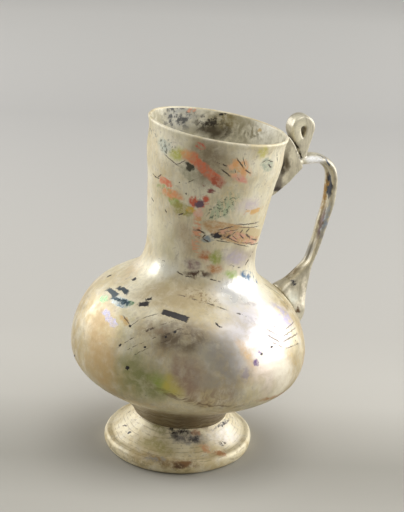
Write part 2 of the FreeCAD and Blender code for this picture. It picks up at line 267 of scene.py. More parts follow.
foot_path = smooth_path([Vector((radius, height)) * MM for radius, height in FOOT_PROFILE], FOOT_ROWS)
foot_rows = []
for spot in foot_path:
    row = []
    for column in range(FOOT_COLUMNS):
        turn = 2 * math.pi * column / FOOT_COLUMNS
        way = Vector((math.cos(turn), math.sin(turn), 0))
        place = way * spot.x
        loose = min(1.0, max(0.0, spot.x / MM - LOOSE_FROM) / LOOSE_WIDTH)
        raised = place + Vector((0, 0, spot.y))
        out = (swell(place, *FOOT_BROAD) + swell(raised, *FOOT_FINE)) * loose
        lift = swell(place + LIFT_ELSEWHERE, *FOOT_LIFT) * loose * min(1.0, spot.y / MM / LIFT_WIDTH)
        row.append(FOOT_AXIS + way * (spot.x + out) + Vector((0, 0, spot.y + lift)))
    foot_rows.append(row)
foot_top = FOOT_AXIS + Vector((0, 0, FOOT_TOP))
foot_below = FOOT_AXIS + Vector((0, 0, foot_path[-1].y))
foot = grid_piece("foot_pad", foot_rows, foot_top, foot_below)

# Handle: the fixed form, softened as fused glass is
VOXEL = 0.3 * MM
SOFTEN_SHARE = 0.5
SOFTEN_ROUNDS = 12
HANDLE_SWELLS = ((7, 0.25), (2.5, 0.06))
handle_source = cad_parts["handle"]
handle_mesh = handle_source.data.copy()
handle_mesh.transform(handle_source.matrix_world)
handle = bpy.data.objects.new("handle_trail", handle_mesh)
bpy.context.scene.collection.objects.link(handle)
remesh = handle.modifiers.new("even", "REMESH")
remesh.mode = "VOXEL"
remesh.voxel_size = VOXEL
remesh.use_smooth_shade = True
soften = handle.modifiers.new("soften", "SMOOTH")
soften.factor = SOFTEN_SHARE
soften.iterations = SOFTEN_ROUNDS
bpy.context.view_layer.update()
depsgraph = bpy.context.evaluated_depsgraph_get()
soft_mesh = bpy.data.meshes.new_from_object(handle.evaluated_get(depsgraph))
handle.modifiers.clear()
handle.data = soft_mesh
stands = []
for vertex in soft_mesh.vertices:
    stands.append(vertex.normal * sum(swell(vertex.co, *size) for size in HANDLE_SWELLS))
for vertex, stand in zip(soft_mesh.vertices, stands):
    vertex.co += stand

for piece, node in ((vessel, "vessel"), (foot, "foot"), (handle, "handle")):
    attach(piece, "root")
    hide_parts(node)


# Materials
def srgb(red, green, blue):
    """A colour as seen on screen, 0 to 255, as the linear colour a shader takes."""
    out = []
    for value in (red, green, blue):
        value = value / 255
        out.append(value / 12.92 if value <= 0.04045 else ((value + 0.055) / 1.055) ** 2.4)
    return (out[0], out[1], out[2], 1.0)


def join(tree, value, socket):
    """Sets a socket to a number or colour, or links another socket to it."""
    if isinstance(value, bpy.types.NodeSocket):
        tree.links.new(value, socket)
    else:
        socket.default_value = value


def math_node(tree, operation, *values):
    node = tree.nodes.new("ShaderNodeMath")
    node.operation = operation
    for socket, value in zip(node.inputs, values):
        join(tree, value, socket)
    return node.outputs[0]


def vector_node(tree, operation, *values):
    node = tree.nodes.new("ShaderNodeVectorMath")
    node.operation = operation
    for socket, value in zip(node.inputs, values):
        join(tree, value, socket)
    return node.outputs[0]


def noise_node(tree, vector, scale, detail=3.0, roughness=0.55, colour=False):
    node = tree.nodes.new("ShaderNodeTexNoise")
    node.inputs["Scale"].default_value = scale
    node.inputs["Detail"].default_value = detail
    node.inputs["Roughness"].default_value = roughness
    tree.links.new(vector, node.inputs["Vector"])
    return node.outputs["Color" if colour else "Fac"]


def range_node(tree, value, low, high, out_low=0.0, out_high=1.0):
    node = tree.nodes.new("ShaderNodeMapRange")
    node.interpolation_type = "SMOOTHSTEP"
    join(tree, value, node.inputs["Value"])
    for name, number in (("From Min", low), ("From Max", high), ("To Min", out_low), ("To Max", out_high)):
        join(tree, number, node.inputs[name])
    return node.outputs["Result"]


def mix_node(tree, share, first, second):
    node = tree.nodes.new("ShaderNodeMix")
    node.data_type = "RGBA"
    join(tree, share, node.inputs["Factor"])
    join(tree, first, node.inputs[6])
    join(tree, second, node.inputs[7])
    return node.outputs[2]


OBJECT_MIDDLE = Vector((0, 0, 60 * MM))
ZONE_MARGIN = 2 * MM
SOOT = (44, 40, 38)

# Marks wider and paler than these have their colour broken up, and marks on the neck spread a little
FINEST_GRAINED_MARK = 1.3
DARKEST_GRAINED_MARK = 125
NECK_MARK_SPREAD = 1.25

# A mark reaches this deep, and deeper where it is long, as the surface curves away with this radius
MARK_DEPTH = 2.5 * MM
MARK_CURVE = 26 * MM

# How the outlines of marks wander: the scale of the noise, and how far it moves them
EDGES = {"cloudy": (60.0, 16.0 * MM), "wavy": (110.0, 7.0 * MM),
         "torn": (420.0, 3.0 * MM), "fine": (1100.0, 0.9 * MM)}

# How much of a mark fades out
FIRM = {"soft": 0.4}
HALF_SOFT = {"soft": 0.5}
SOFT = {"soft": 0.6}
SOFTER = {"soft": 0.7}
HAZY = {"soft": 0.8}
MISTY = {"soft": 0.9}
SQUARE = {"square": True}


class Glass:
    """A weathered glass material built up mark by mark, from weathering and painted light and shade, on one
    node's surface.
    """

    def __init__(self, name, node, low=0.0, high=1.0):
        self.low = low
        self.high = high
        self.material = bpy.data.materials.new(name)
        self.material.use_nodes = True
        self.tree = self.material.node_tree
        self.tree.nodes.clear()
        coordinates = self.tree.nodes.new("ShaderNodeTexCoord")
        self.place = coordinates.outputs["Object"]
        self.surface = TREES[node]
        self.colour = None
        self.rough = 0.4
        self.metal = 0.3
        self.height = 0.0
        self.edges = {}
        for edge, (scale, amount) in EDGES.items():
            loose = noise_node(self.tree, self.place, scale, detail=3.0, roughness=0.6, colour=True)
            moved = vector_node(self.tree, "SUBTRACT", loose, (0.5, 0.5, 0.5))
            moved = vector_node(self.tree, "MULTIPLY", moved, (amount, amount, amount))
            self.edges[edge] = vector_node(self.tree, "ADD", moved, self.place)
        grain = noise_node(self.tree, self.place, 620.0, detail=4.0, roughness=0.7)
        self.breaks = {"grain": range_node(self.tree, grain, 0.36, 0.62, 0.45, 1.0)}

    def streak(self, along, scale, low, high, detail=3.0):
        """Noise drawn out by the given factors along x, y and z, as a mask between two levels."""
        drawn = vector_node(self.tree, "MULTIPLY", self.edges["wavy"], along)
        return range_node(self.tree, noise_node(self.tree, drawn, scale, detail, roughness=0.6), low, high)

    def speckle(self, scale, low, high, detail=3.0):
        """Plain noise as a mask between two levels."""
        plain = noise_node(self.tree, self.place, scale, detail, roughness=0.65)
        return range_node(self.tree, plain, low, high)

    def roughened(self, scale, height):
        """Fine unevenness of the surface, up to a height in millimetres."""
        fine = noise_node(self.tree, self.place, scale, detail=4.0, roughness=0.6)
        return math_node(self.tree, "MULTIPLY", fine, height * MM)

    def hit(self, pixel):
        """Where a pixel of the photograph lies on the surface, and which way the surface faces there."""
        way = look_through(*pixel)
        place, normal = self.surface.ray_cast(CAMERA_PLACE, way)[:2]
        if place is None:
            depth = (OBJECT_MIDDLE - CAMERA_PLACE).dot(way)
            place, normal = self.surface.find_nearest(CAMERA_PLACE + way * depth)[:2]
        return place, (normal if normal.dot(way) < 0 else -normal)

    def local(self, start, end, wide, edge):
        """Coordinates that run from -1 to 1 along a mark, across it and through the surface."""
        middle, normal = self.hit(((start[0] + end[0]) / 2, (start[1] + end[1]) / 2))
        first = self.hit(start)[0]
        last = self.hit(end)[0]
        along = last - first
        half = along.length / 2
        along = (along - normal * along.dot(normal)).normalized()
        across = normal.cross(along)
        reach = max(half, wide * MM / 2)
        deep = MARK_DEPTH + reach ** 2 / MARK_CURVE
        mapping = self.tree.nodes.new("ShaderNodeMapping")
        mapping.vector_type = "TEXTURE"
        mapping.inputs["Location"].default_value = middle
        turned = Matrix((along, across, normal)).transposed()
        mapping.inputs["Rotation"].default_value = turned.to_euler("XYZ")
        mapping.inputs["Scale"].default_value = (half, wide * MM / 2, deep)
        self.tree.links.new(self.edges[edge], mapping.inputs["Vector"])
        return mapping.outputs["Vector"]

    def mask(self, start, end, wide, edge="torn", soft=0.35, square=False, strength=1.0):
        """An oval or squared mark that fades over its outer part, where soft says how much of it."""
        local = self.local(start, end, wide, edge)
        if square:
            split = self.tree.nodes.new("ShaderNodeSeparateXYZ")
            self.tree.links.new(vector_node(self.tree, "ABSOLUTE", local), split.inputs[0])
            reach = math_node(self.tree, "MAXIMUM", split.outputs["X"], split.outputs["Y"])
            reach = math_node(self.tree, "MAXIMUM", reach, split.outputs["Z"])
        else:
            size = self.tree.nodes.new("ShaderNodeVectorMath")
            size.operation = "LENGTH"
            self.tree.links.new(local, size.inputs[0])
            reach = size.outputs["Value"]
        return range_node(self.tree, reach, 1.0 - soft, 1.0, strength, 0.0)

    def lay(self, mask, colour=None, rough=None, metal=None, depth=0.0):
        """Puts a finish on wherever the mask is set."""
        if colour is not None:
            self.colour = mix_node(self.tree, mask, self.colour, colour)
        if rough is not None:
            self.rough = self.between(mask, self.rough, rough)
        if metal is not None:
            self.metal = self.between(mask, self.metal, metal)
        if depth:
            sunk = math_node(self.tree, "MULTIPLY", mask, depth * MM)
            self.height = math_node(self.tree, "SUBTRACT", self.height, sunk)

    def between(self, mask, first, second):
        """The first number where the mask is clear and the second where it is set."""
        node = self.tree.nodes.new("ShaderNodeMix")
        join(self.tree, mask, node.inputs["Factor"])
        join(self.tree, first, node.inputs["A"])
        join(self.tree, second, node.inputs["B"])
        return node.outputs["Result"]

    def mark(self, what, start, end, wide, colour, broken=None, rough=None, metal=None, depth=0.0, **form):
        """A mark, named by what, between two pixels of the photograph: so wide in millimetres, and
        broken up by a mask. It is left out where it lies beyond this material's heights."""
        first = self.hit(start)[0]
        last = self.hit(end)[0]
        margin = ZONE_MARGIN + wide * MM / 2
        if max(first.z, last.z) + margin < self.low or min(first.z, last.z) - margin > self.high:
            return
        mask = self.mask(start, end, wide, **form)
        if broken is None and wide > FINEST_GRAINED_MARK and max(colour) > DARKEST_GRAINED_MARK:
            broken = "grain"
        if broken is not None:
            mask = math_node(self.tree, "MULTIPLY", mask, self.breaks[broken])
        self.lay(mask, srgb(*colour), rough, metal, depth)

    def line(self, what, path, wide, colour, broken=None, **form):
        """A thin line through pixels of the photograph."""
        for start, end in zip(path, path[1:]):
            self.mark(what, start, end, wide, colour, broken, edge="fine", soft=0.6, square=True, **form)

    def finish(self):
        shader = self.tree.nodes.new("ShaderNodeBsdfPrincipled")
        output = self.tree.nodes.new("ShaderNodeOutputMaterial")
        join(self.tree, self.colour, shader.inputs["Base Color"])
        join(self.tree, self.rough, shader.inputs["Roughness"])
        join(self.tree, self.metal, shader.inputs["Metallic"])
        bump = self.tree.nodes.new("ShaderNodeBump")
        bump.inputs["Distance"].default_value = 1.0
        bump.inputs["Strength"].default_value = 1.0
        join(self.tree, self.height, bump.inputs["Height"])
        self.tree.links.new(bump.outputs["Normal"], shader.inputs["Normal"])
        self.tree.links.new(shader.outputs["BSDF"], output.inputs["Surface"])
        return self.material


CREAM = srgb(214, 202, 166)
WARM = srgb(188, 166, 118)
NECK_CREAM = srgb(236, 228, 200)
NECK_WARM = srgb(212, 196, 154)
PALE = srgb(242, 236, 218)
GREY = srgb(180, 174, 156)
DUN = srgb(142, 122, 90)
DARK_LINE = (80, 66, 52)
DOT_ACROSS = 1.5
DOT_UP = 1
NECK_FROM = 58 * MM
NECK_FULL = 66 * MM
STEM_FROM = 33 * MM
STEM_FULL = 19 * MM

# Hues that the cream drifts to, each between two levels of noise and at a strength
HUES = (
    ((176, 170, 112), 0.56, 0.66, 0.3),
    ((206, 174, 132), 0.44, 0.34, 0.35),
    ((186, 176, 176), 0.64, 0.74, 0.4),
)

# Large soft colours: what they are, the two pixels they lie between, width in millimetres and colour,
# then how strong, rough and metallic they are
LARGE_COLOURS = (
    ("gold on the left of the body", (76, 346), (118, 342), 44, (190, 158, 104), 0.9, 0.46, 0.15),
    ("tan shoulder in front", (112, 288), (236, 298), 22, (172, 152, 110), 0.8, 0.45, 0.2),
    ("brown between the bar and the arcs", (140, 332), (232, 338), 24, (100, 84, 62), 0.95, 0.45, 0.2),
    ("green low on the left", (104, 366), (174, 398), 28, (128, 130, 74), 0.9, 0.38, 0.35),
    ("bright green", (142, 370), (172, 394), 11, (148, 166, 66), 0.7, 0.35, 0.4),
    ("yellow green", (158, 368), (180, 398), 12, (196, 180, 84), 0.9, 0.35, 0.4),
    ("pink brown", (182, 346), (196, 408), 16, (150, 120, 100), 0.85, 0.4, 0.3),
    ("grey lilac", (192, 358), (258, 368), 38, (152, 146, 138), 0.85, 0.38, 0.35),
    # Partly the glass's pearly tone, partly a painted highlight from the right softbox
    ("pearl with a painted highlight on the right", (214, 306), (302, 342), 46, (244, 238, 238), 1.0, 0.3, 0.3),
    ("pearl rose low on the right", (246, 374), (300, 366), 28, (242, 226, 210), 0.9, 0.3, 0.25),
    # Painted highlight on the body's low right flank
    ("painted highlight low on the right", (270, 388), (300, 364), 22, (250, 242, 220), 0.9, 0.38, 0.1),
    # Painted highlight at the foot of the neck, from the right softbox
    ("painted highlight at the neck's foot", (204, 288), (270, 288), 16, (242, 240, 234), 1.0, 0.22, 0.45),
    # Painted light on the neck's left side, which the left softbox lights
    ("painted light on the left of the neck", (152, 205), (168, 255), 14, (246, 236, 202), 0.6, 0.42, 0.1),
    # Painted shade: the front of the upper neck darker and browner
    ("painted shade on the upper neck's front", (190, 136), (232, 190), 22, (126, 108, 78), 0.85, 0.45, 0.12),
    ("shade of the neck's front", (182, 215), (200, 266), 17, (178, 152, 116), 0.7, 0.45, 0.12),
    # Painted shade, with more roughness, toning down the highlight at the neck's low right
    ("duller right foot of the neck with painted shade", (228, 246), (264, 262), 11, (176, 162, 140), 0.9, 0.6, 0.05),
    # Painted highlight at the left of the shoulder, from the left softbox
    ("painted highlight on the left shoulder", (144, 266), (178, 272), 12, (246, 243, 226), 0.95, 0.26, 0.4),
)

# Marks on the neck, told in the same way, then what breaks each up and the form of its edge
NECK_MARKS = (
    ("grey specks under the lip", (147, 126), (151, 136), 3.4, (104, 102, 92), "speck", {}),
    ("pale blue patch", (155, 138), (172, 152), 5.0, (192, 198, 184), None, SOFT),
    ("grey flecks on it", (156, 140), (176, 152), 5.0, (122, 122, 104), "speck", {}),
    ("yellow green stain", (166, 158), (188, 150), 5.0, (190, 190, 92), None, SOFTER),
    ("orange stain", (176, 150), (204, 164), 4.4, (230, 164, 104), None, SOFT),
    ("red streak", (187, 154), (224, 186), 3.6, (216, 118, 82), None, {"soft": 0.4, "square": True}),
    ("dark red end", (212, 178), (225, 187), 3.2, (172, 82, 58), None, {"square": True, "strength": 0.8}),
    ("grey gap in the stain", (176, 164), (200, 184), 4.6, (178, 172, 144), None, HALF_SOFT),
    ("dark hole", (184, 164), (195, 170), 2.5, (72, 68, 50), None, {"depth": 0.12}),
    ("red mottles", (193, 144), (206, 148), 2.4, (206, 104, 80), "mottle", {}),
    ("peach stain", (228, 162), (252, 180), 7.4, (228, 180, 136), "mottle", {}),
    ("gold in it", (233, 158), (246, 176), 3.4, (222, 160, 90), None, {"strength": 0.8}),
    ("rose below it", (232, 176), (250, 183), 3.0, (226, 160, 140), None, SOFT),
    ("yellow green by the web", (257, 152), (270, 153), 5.0, (204, 196, 108), None, SOFTER),
    ("grey green flake", (261, 164), (275, 166), 4.4, (164, 172, 150), None, FIRM),
    ("orange red spot", (158, 178), (173, 185), 3.0, (226, 132, 96), None, {}),
    ("green left", (154, 186), (172, 194), 3.6, (156, 168, 96), "mottle", {"strength": 0.9}),
    ("orange yellow", (160, 190), (184, 199), 4.0, (230, 158, 104), None, HALF_SOFT),
    ("green spot", (167, 199), (182, 206), 3.0, (158, 176, 84), None, HALF_SOFT),
    ("olive", (170, 205), (196, 214), 4.4, (170, 160, 88), None, {}),
    ("yellow by the ring", (186, 207), (197, 213), 2.6, (220, 178, 72), None, HALF_SOFT),
    ("purple brown diagonal", (196, 184), (218, 194), 2.2, (142, 80, 74), "mottle", {}),
    ("red ring", (187, 203), (211, 200), 5.0, (208, 106, 78), "mottle", {"soft": 0.3}),
    ("purple middle", (193, 205), (205, 203), 3.0, (112, 88, 100), None, FIRM),
    ("peach spot", (192, 213), (204, 213), 3.4, (240, 186, 162), None, FIRM),
    ("peach below it", (194, 219), (203, 219), 1.6, (224, 164, 110), None, {}),
    ("grey green band", (202, 226), (244, 190), 9.0, (182, 192, 156), "upright", HAZY),
    ("dark specks in it", (206, 222), (242, 192), 6.0, (86, 100, 80), "speck", {"strength": 0.8}),
    ("lilac right", (234, 208), (266, 204), 7.0, (210, 196, 198), None, MISTY),
    ("gold right", (244, 216), (268, 206), 2.6, (220, 178, 116), "dash", SOFT),
    ("red brown flecks", (193, 226), (205, 240), 3.0, (150, 80, 56), "mottle", {"strength": 0.9}),
    ("slate spot", (200, 240), (214, 239), 3.0, (140, 152, 156), None, FIRM),
    ("peach rungs", (197, 212), (196, 260), 3.4, (226, 166, 128), "rung", {"edge": "fine"}),
    ("brown orange", (197, 256), (214, 257), 5.4, (190, 120, 72), None, SOFTER),
    ("green yellow", (207, 255), (226, 260), 6.0, (158, 164, 82), None, SOFTER),
    ("lilac low", (220, 254), (252, 262), 7.0, (192, 180, 186), None, HAZY),
    ("purple brown low", (180, 262), (204, 267), 5.0, (146, 120, 116), None, HAZY),
    ("orange brown low", (202, 268), (228, 270), 4.4, (188, 132, 80), None, HAZY),
    # Painted shade in the crease at the foot of the neck
    ("painted shade at the neck's foot", (177, 274), (218, 275), 2.6, (88, 66, 50), "mottle", SOFTER),
    ("blue flecks at the highlight", (240, 272), (259, 281), 4.0, (84, 116, 146), "mottle", {}),
    ("green at the highlight", (222, 272), (240, 276), 3.0, (176, 196, 120), None, HAZY),
)

EYE_LINES = (
    ("upper edge of the eye", ((216, 231), (236, 226), (262, 222)), 0.6),
    ("lower edge of the eye", ((214, 240), (232, 243), (250, 247), (262, 241)), 0.5),
    ("upper band", ((224, 232), (240, 229), (262, 226)), 0.4),
    ("lower band", ((226, 237), (240, 243), (254, 243)), 0.4),
    ("front crescent", ((250, 228), (245, 233), (251, 239), (258, 240)), 0.9),
    ("middle crescent", ((243, 229), (239, 234), (244, 239)), 0.6),
    ("back crescent", ((236, 231), (232, 235), (237, 240)), 0.4),
)

# Fine dark lines on the neck
NECK_LINES = (
    ("line from the pale patch", ((162, 153), (180, 168)), 0.4, None),
    ("arrow mark", ((152, 173), (157, 178), (162, 174)), 0.5, None),
    ("arrow's tail", ((154, 176), (160, 179)), 0.4, None),
    ("upper purple stroke", ((214, 161), (229, 167)), 0.7, "dash"),
    ("lower purple stroke", ((220, 168), (232, 178)), 0.7, None),
    ("stroke in the peach stain", ((236, 157), (245, 170), (252, 174)), 0.6, None),
    ("second stroke in it", ((243, 156), (246, 168)), 0.4, None),
    ("third stroke in it", ((234, 168), (240, 182)), 0.4, "dash"),
    ("edge of the grey green flake", ((262, 163), (267, 160), (274, 162)), 0.4, None),
    ("dark of the flake", ((268, 164), (272, 168)), 0.8, None),
    ("orange stroke by the web", ((277, 150), (277, 163)), 0.6, "dash"),
    ("dark dashes left", ((151, 197), (154, 202)), 0.7, None),
    ("dash at 166", ((165, 209), (167, 213)), 0.6, None),
    ("dash at 180", ((178, 215), (184, 213)), 0.6, None),
    ("edge of the stain", ((176, 165), (186, 160)), 0.4, None),
    ("edge of the gap", ((184, 184), (198, 178)), 0.3, "dash"),
    ("strokes over the slate spot", ((196, 229), (206, 234), (202, 238), (210, 243)), 0.7, None),
    ("dashes right of the eye's foot", ((254, 250), (249, 258), (244, 266)), 0.9, "dash"),
    ("specks low right", ((229, 265), (241, 268)), 0.6, "dash"),
    ("arc at the neck's foot", ((176, 271), (184, 276), (194, 277)), 0.5, None),
    ("dashes at the neck's foot", ((206, 278), (222, 282)), 0.6, "dash"),
    ("specks on the left shoulder", ((158, 258), (166, 262)), 0.4, "dash"),
)

# Flakes and scratches on the body
BODY_FLAKES = (
    ("chip high left", (106, 277), (112, 275), 1.5, SOOT, SQUARE),
    ("second chip", (131, 281), (137, 278), 1.1, SOOT, SQUARE),
    ("third chip", (138, 305), (151, 304), 2.4, SOOT, SQUARE),
    ("its upper corner", (145, 301), (152, 299), 1.3, SOOT, SQUARE),
    ("black bar", (161, 311), (189, 320), 2.6, SOOT,
     {"square": True, "edge": "fine", "soft": 0.15, "depth": 0.1}),
    ("chip below the bar", (215, 324), (222, 327), 1.0, SOOT, {}),
    ("chip in the green", (125, 370), (130, 367), 1.3, SOOT, {}),
    ("pale in the teal flakes", (110, 298), (132, 306), 5.0, (176, 194, 200), {"rough": 0.2, "metal": 0.6}),
    ("green on their left", (99, 298), (109, 300), 4.0, (116, 160, 112), {"rough": 0.25, "metal": 0.5}),
    ("green on their right", (124, 306), (136, 302), 2.6, (104, 150, 112), {"rough": 0.25, "metal": 0.5}),
    ("slate flake left", (106, 288), (118, 297), 2.2, (66, 80, 84), SQUARE),
    ("slate flake middle", (110, 297), (128, 302), 1.6, (70, 88, 94), SQUARE),
    ("slate flake right", (116, 287), (130, 293), 2.2, (58, 68, 74), SQUARE),
    ("slate flake low", (120, 301), (130, 305), 1.6, (84, 104, 112), SQUARE),
    ("lilac streak", (103, 308), (116, 328), 3.0, (164, 160, 182), {"square": True, "rough": 0.22}),
    ("gold beside it", (118, 314), (130, 326), 3.0, (196, 160, 96), SOFT),
    ("gold rose border", (232, 330), (260, 378), 5.0, (222, 190, 146), MISTY),
    ("purple spot", (253, 358), (260, 367), 2.8, (112, 86, 130), SOFT),
    ("violet by it", (258, 350), (264, 356), 1.6, (140, 124, 160), SOFT),
    ("orange brown below right", (252, 402), (296, 392), 3.4, (176, 122, 62), HAZY),
)

BODY_CLOUDS = (
    ("violet flecks right", (270, 300), (298, 330), 13.0, (168, 162, 196), "mottle", 0.85),
    ("grey flecks in the pearl", (236, 320), (290, 336), 14.0, (190, 182, 186), "mottle", 0.5),
    ("violet flecks lower", (236, 366), (256, 384), 7.0, (134, 124, 148), "mottle", 0.5),
    ("grey flecks high right", (234, 300), (262, 306), 3.0, (176, 166, 158), "mottle", 0.6),
    ("brown specks on the shoulder", (176, 288), (226, 306), 8.0, (136, 110, 70), "speck", 0.8),
    ("brown between the scratches", (128, 330), (180, 326), 9.0, (138, 112, 80), "mottle", 0.5),
    ("upright rays below the middle", (176, 398), (250, 398), 12.0, (150, 118, 88), "upright", 0.5),
    ("level lines above the foot", (140, 403), (262, 405), 4.0, (112, 88, 58), "level", 0.8),
)

BODY_LINES = (
    ("dashed line over the shoulder", ((176, 294), (200, 301), (230, 311), (250, 317), (270, 326)), 0.7,
     "dash"),
    ("arc from the bar", ((128, 328), (140, 319), (160, 313)), 0.4, None),
    ("second arc", ((116, 348), (136, 336), (158, 326), (182, 318)), 0.35, "dash"),
    ("third arc", ((122, 352), (146, 341), (170, 332), (190, 326)), 0.35, "dash"),
    ("fourth arc", ((128, 358), (152, 346), (178, 337)), 0.3, "dash"),
    ("dark dashes in the arcs", ((143, 332), (156, 327)), 1.0, "mottle"),
    ("dark dashes lower", ((160, 338), (176, 331)), 1.0, "mottle"),
    ("line at the teal flakes", ((122, 314), (131, 326)), 0.5, None),
    ("thin line high right", ((262, 282), (283, 297)), 0.6, None),
    ("thin line on to the right", ((274, 291), (295, 314)), 0.6, "dash"),
    ("right arc outside", ((266, 334), (282, 343), (300, 332)), 0.8, None),
    ("right arc middle", ((264, 327), (282, 338), (298, 326)), 0.6, None),
    ("right arc inside", ((268, 323), (284, 331), (296, 320)), 0.5, None),
    ("right arc low", ((268, 340), (286, 349), (302, 342)), 0.6, "dash"),
)

DOTS = (
    ("dot by the arcs", (130, 326)), ("dot below", (120, 345)), ("dot in the arcs", (145, 347)),
    ("dot right", (166, 337)), ("dot far right", (175, 332)), ("dot at the right arcs", (272, 347)),
    ("dot low right", (262, 354)), ("dot at the left edge", (74, 356)),
)


# Vessel, outside: cream and tan weathering with a pearly shine on the body, and painted highlights and shade
def weathering_and_painted_light_skin(name, low, high):
    """The outer skin with the marks that lie between two heights."""
    skin = Glass(name, "vessel", low, high)
    t = skin.tree
    skin.breaks["mottle"] = skin.speckle(330.0, low=0.4, high=0.6)
    bloom = noise_node(t, skin.edges["wavy"], 240.0, detail=6.0, roughness=0.7)
    skin.breaks["bloom"] = range_node(t, bloom, 0.3, 0.62, 0.5, 1.0)
    skin.breaks["speck"] = skin.speckle(900.0, low=0.52, high=0.62)
    skin.breaks["dash"] = skin.speckle(420.0, low=0.44, high=0.52)
    skin.breaks["rung"] = skin.streak((0.25, 0.25, 1.0), 900.0, low=0.45, high=0.6)
    skin.breaks["level"] = skin.streak((0.05, 0.05, 1.0), 1500.0, low=0.42, high=0.62)
    skin.breaks["upright"] = skin.streak((1.0, 1.0, 0.12), 900.0, low=0.42, high=0.62)
    height = t.nodes.new("ShaderNodeSeparateXYZ")
    t.links.new(skin.place, height.inputs[0])
    up = height.outputs["Z"]
    on_neck = range_node(t, up, NECK_FROM, NECK_FULL)
    below = range_node(t, up, STEM_FROM, STEM_FULL)
    cloud = skin.speckle(48.0, low=0.36, high=0.64, detail=4.0)
    neck_colour = mix_node(t, cloud, NECK_WARM, NECK_CREAM)
    skin.colour = mix_node(t, on_neck, mix_node(t, cloud, WARM, CREAM), neck_colour)
    hue_cloud = noise_node(t, skin.edges["wavy"], 38.0, 3.0)
    for tint, begins, full, strength in HUES:
        skin.lay(range_node(t, hue_cloud, begins, full, 0.0, strength), srgb(*tint))
    skin.lay(math_node(t, "MULTIPLY", skin.breaks["upright"], 0.3), GREY)
    skin.lay(math_node(t, "MULTIPLY", skin.speckle(260.0, low=0.45, high=0.7, detail=5.0), 0.45), PALE)
    skin.lay(math_node(t, "MULTIPLY", skin.speckle(520.0, low=0.55, high=0.72, detail=4.0), 0.45), DUN)
    skin.rough = skin.between(on_neck, 0.3, 0.46)
    skin.metal = skin.between(on_neck, 0.42, 0.12)
    skin.rough = skin.between(skin.breaks["mottle"], skin.rough, 0.5)
    skin.height = skin.roughened(700.0, 0.03)
    skin.lay(math_node(t, "MULTIPLY", below, skin.breaks["level"]), srgb(120, 98, 66), rough=0.5, metal=0.1)
    skin.lay(math_node(t, "MULTIPLY", below, 0.75), srgb(104, 88, 60))
    skin.lay(skin.speckle(340.0, low=0.755, high=0.77, detail=2.0), srgb(*SOOT), rough=0.5, metal=0.0,
             depth=0.05)

    for what, start, end, wide, colour, strength, rough, metal in LARGE_COLOURS:
        skin.mark(what, start, end, wide, colour, "bloom", rough, metal,
                  edge="cloudy", soft=0.75, strength=strength)
    for what, start, end, wide, colour, broken, form in NECK_MARKS:
        skin.mark(what, start, end, wide * NECK_MARK_SPREAD, colour, broken, **form)

    # The eye-shaped flake low on the neck
    skin.mark("eye flake", (212, 235), (266, 234), 7.6, (196, 156, 108), soft=0.2, edge="fine")
    skin.mark("rose in the eye", (226, 238), (262, 240), 4.0, (214, 166, 138), "dash", edge="fine")
    skin.mark("dark tip of the eye", (210, 236), (234, 235), 3.6, (66, 50, 50), "mottle", soft=0.3)
    skin.mark("black tip", (211, 236), (223, 236), 2.4, (42, 38, 44), soft=0.4)
    skin.mark("pale middle of the eye", (244, 233), (266, 232), 3.6, (206, 190, 146), soft=0.4, edge="fine")
    for what, path, wide in EYE_LINES:
        skin.line(what, path, wide, (70, 58, 52), strength=0.9)
    for what, path, wide, broken in NECK_LINES:
        skin.line(what, path, wide, DARK_LINE, broken)
    for what, start, end, wide, colour, form in BODY_FLAKES:
        skin.mark(what, start, end, wide, colour, **form)
    for what, start, end, wide, colour, broken, strength in BODY_CLOUDS:
        skin.mark(what, start, end, wide, colour, broken, soft=0.7, strength=strength)
    for what, path, wide, broken in BODY_LINES:
        skin.line(what, path, wide, DARK_LINE, broken, strength=0.85)
    for what, spot in DOTS:
        start = (spot[0] - DOT_ACROSS, spot[1] + DOT_UP)
        end = (spot[0] + DOT_ACROSS, spot[1] - DOT_UP)
        skin.mark(what, start, end, 1.0, SOOT, edge="fine")
    return skin.finish()


# The outer skin in zones from the top down, parted at the heights of these pixels
ZONE_PARTS = {"upper_neck_skin": (205, 208), "lower_neck_skin": (200, 266), "shoulder_skin": (190, 318),
              "waist_skin": (190, 362), "belly_skin": None}
zone_heights = []
zone_top = 1.0
for zone, part in ZONE_PARTS.items():
    zone_low = 0.0
    if part is not None:
        zone_low = TREES["vessel"].ray_cast(CAMERA_PLACE, look_through(*part))[0].z
        zone_heights.append(zone_low)
    vessel.data.materials.append(weathering_and_painted_light_skin(zone, zone_low, zone_top))
    zone_top = zone_low

